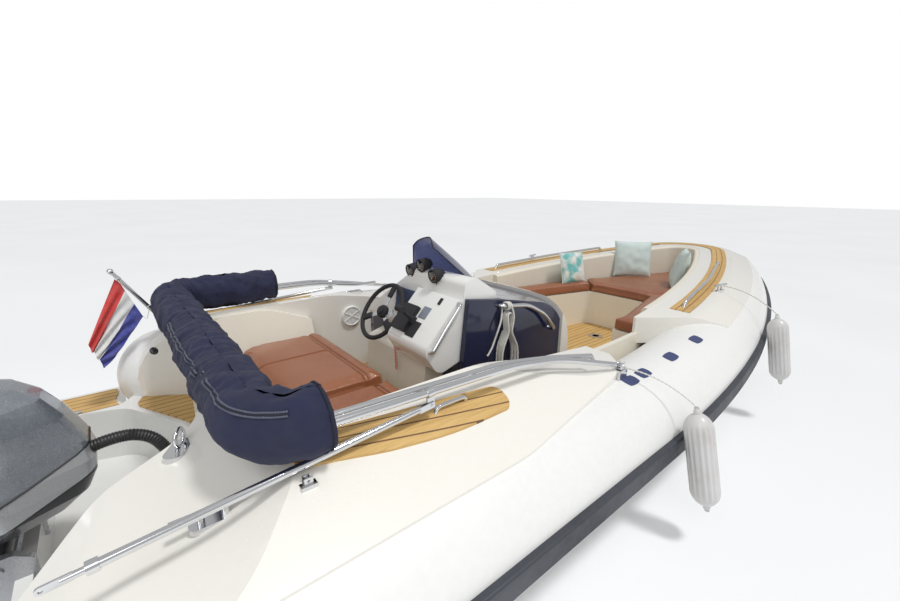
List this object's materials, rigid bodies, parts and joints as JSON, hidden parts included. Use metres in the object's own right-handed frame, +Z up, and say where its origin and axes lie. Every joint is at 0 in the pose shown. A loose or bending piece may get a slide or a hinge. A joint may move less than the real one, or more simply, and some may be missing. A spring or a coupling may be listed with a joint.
{
  "type": "inflatable rib boat",
  "caption": "Open inflatable rib boat afloat, with an outboard engine, a steering console, a stowed folding top, teak decks and padded bow and stern seats.",
  "frame": {"origin": "on the centreline at the waterline, level with the after ends of the tubes' straight run; the transom lies 0.4 m aft of it", "axes": "+X towards the bow, +Y to port, +Z up"},
  "size_m": [6.5777, 2.8244, 2.067],
  "materials": {
    "tube_white": "satin",
    "strake_dark": "satin",
    "hull_white": "gloss",
    "gelcoat_cream": "gloss",
    "teak": "oiled",
    "seat_brown": "satin",
    "cushion_cream": "satin",
    "console_navy": "gloss",
    "screen_tint": "gloss",
    "stainless": "polished",
    "black_plastic": "matte",
    "cover_blue": "matte",
    "canvas_navy": "matte",
    "cowl_grey": "gloss",
    "cowl_silver": "gloss",
    "engine_dark": "satin",
    "prop_metal": "satin",
    "hose_black": "matte",
    "fender_white": "satin",
    "rope_white": "matte",
    "flag_cloth": "matte",
    "pillow_cloth": "matte",
    "cord_red": "satin",
    "speaker_white": "satin"
  },
  "bodies": {
    "hull": {"aft_cushion_port": "seat_brown", "aft_cushion_starboard": "seat_brown", "aft_seat_base": "gelcoat_cream", "aft_seat_surround": "gelcoat_cream", "bow_backrest": "cushion_cream", "bow_cushions": "seat_brown", "bow_deck": "gelcoat_cream", "bow_rails": "stainless", "bow_seat_base": "gelcoat_cream", "bow_tube": "tube_white", "cockpit_liner": "gelcoat_cream", "cockpit_sole": "teak", "console_front_panel": "console_navy", "console_kick_panel": "gelcoat_cream", "console_rails": "stainless", "console_rope": "rope_white", "console_rope_tail": "rope_white", "console_shell": "console_navy", "dash_instruments": "black_plastic", "deck_cleats": "stainless", "deck_teak": "teak", "engine_clamp": "engine_dark", "fender_lines": "rope_white", "fenders": "fender_white", "flag": "flag_cloth", "flagstaff": "stainless", "frame_hinges": "stainless", "helm_moulding": "gelcoat_cream", "hull_bottom": "hull_white", "kill_cord": "cord_red", "plotter_cover": "cover_blue", "port_platform": "gelcoat_cream", "port_tube": "tube_white", "rigging_hose_fore": "hose_black", "rubbing_strake": "strake_dark", "speakers": "speaker_white", "splash_well": "gelcoat_cream", "starboard_platform": "gelcoat_cream", "starboard_tube": "tube_white", "stern_deck": "gelcoat_cream", "stern_teak": "teak", "table_socket": "stainless", "throttle_control": "black_plastic", "throw_pillows": "pillow_cloth", "windscreen": "screen_tint"},
    "engine_bracket": {"engine_swivel": "engine_dark"},
    "engine": {"engine_leg": "engine_dark", "engine_lower_cowl": "cowl_silver", "engine_cowl": "cowl_grey", "rigging_hose_aft": "hose_black"},
    "propeller": {"propeller": "prop_metal"},
    "helm_wheel": {"steering_wheel": "black_plastic"},
    "folding_top": {"bimini_frame": "stainless", "bimini_boot": "canvas_navy"},
    "starboard_brace": {"starboard_brace": "stainless"},
    "starboard_brace_foot": {"starboard_brace_foot": "stainless"},
    "port_brace": {"port_brace": "stainless"},
    "port_brace_foot": {"port_brace_foot": "stainless"}
  },
  "joints": [
    {"name": "engine_tilt", "type": "hinge", "parent": "hull", "child": "engine_bracket", "pos_m": [-0.43, 0, 0.3], "axis": [0, 1, 0], "range_deg": [0, 55], "deforming": ["rigging_hose_fore"]},
    {"name": "engine_steer", "type": "hinge", "parent": "engine_bracket", "child": "engine", "pos_m": [-0.56, 0, 0], "axis": [0, 0, 1], "range_deg": [-30, 30], "deforming": ["rigging_hose_aft"]},
    {"name": "propeller_spin", "type": "hinge", "parent": "engine", "child": "propeller", "pos_m": [-0.88, 0, -0.605], "axis": [1, 0, 0], "continuous": true},
    {"name": "wheel_turn", "type": "hinge", "parent": "hull", "child": "helm_wheel", "pos_m": [1.18, 0.11, 0.84], "axis": [0.8192, 0, -0.5736], "range_deg": [-545, 545]},
    {"name": "top_fold", "type": "hinge", "parent": "hull", "child": "folding_top", "pos_m": [1.76, 0, 0.742], "axis": [0, 1, 0], "range_deg": [0, 59]},
    {"name": "starboard_brace_swing", "type": "hinge", "parent": "folding_top", "child": "starboard_brace", "pos_m": [0.745, -0.93761, 0.84043], "axis": [-0.0094, -0.9998, 0.0156], "range_deg": [0, 95]},
    {"name": "starboard_brace_slide", "type": "slide", "parent": "starboard_brace", "child": "starboard_brace_foot", "axis": [-0.9961, 0.008, -0.0879], "range_m": [0, 0.38]},
    {"name": "port_brace_swing", "type": "hinge", "parent": "folding_top", "child": "port_brace", "pos_m": [1.24, 0.95, 0.81248], "axis": [-0.1033, -0.9946, 0.0144], "range_deg": [0, 73.5]},
    {"name": "port_brace_slide", "type": "slide", "parent": "port_brace", "child": "port_brace_foot", "axis": [-0.9911, 0.1017, -0.0857], "range_m": [0, 0.52]}
  ],
  "couplings": [
    {"joint": "wheel_turn", "follows": "engine_steer", "ratio": 18},
    {"joint": "starboard_brace_swing", "follows": "top_fold", "ratio": 1.6034},
    {"joint": "starboard_brace_slide", "follows": "top_fold", "m_per_rad": 0.36073},
    {"joint": "port_brace_swing", "follows": "top_fold", "ratio": 1.2366},
    {"joint": "port_brace_slide", "follows": "top_fold", "m_per_rad": 0.50068}
  ]
}
